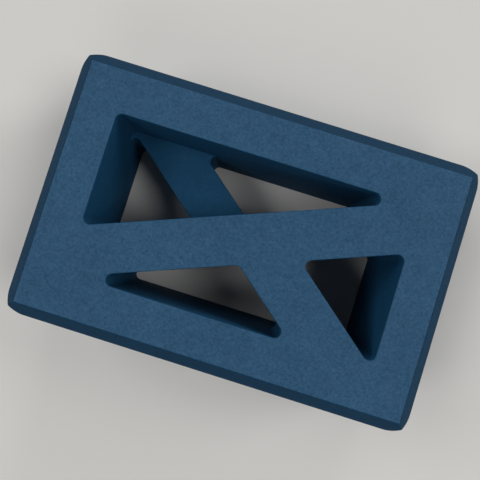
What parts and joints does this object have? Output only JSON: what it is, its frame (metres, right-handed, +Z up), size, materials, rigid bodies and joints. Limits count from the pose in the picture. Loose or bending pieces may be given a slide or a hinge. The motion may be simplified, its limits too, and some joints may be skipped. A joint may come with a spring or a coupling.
{
  "type": "yoga block",
  "caption": "Foam yoga block with an open frame: a full-height diagonal strut crossed by half-height arms, one level with each face, and triangular finger openings.",
  "frame": {"origin": "centre of the bottom face of the block, lying on its largest face", "axes": "+X along the length, +Y across the width, +Z up through the thickness"},
  "size_m": [0.228, 0.15, 0.076],
  "materials": {
    "foam": "matte closed-cell foam"
  },
  "bodies": {
    "root": {"block": "foam"}
  },
  "joints": []
}
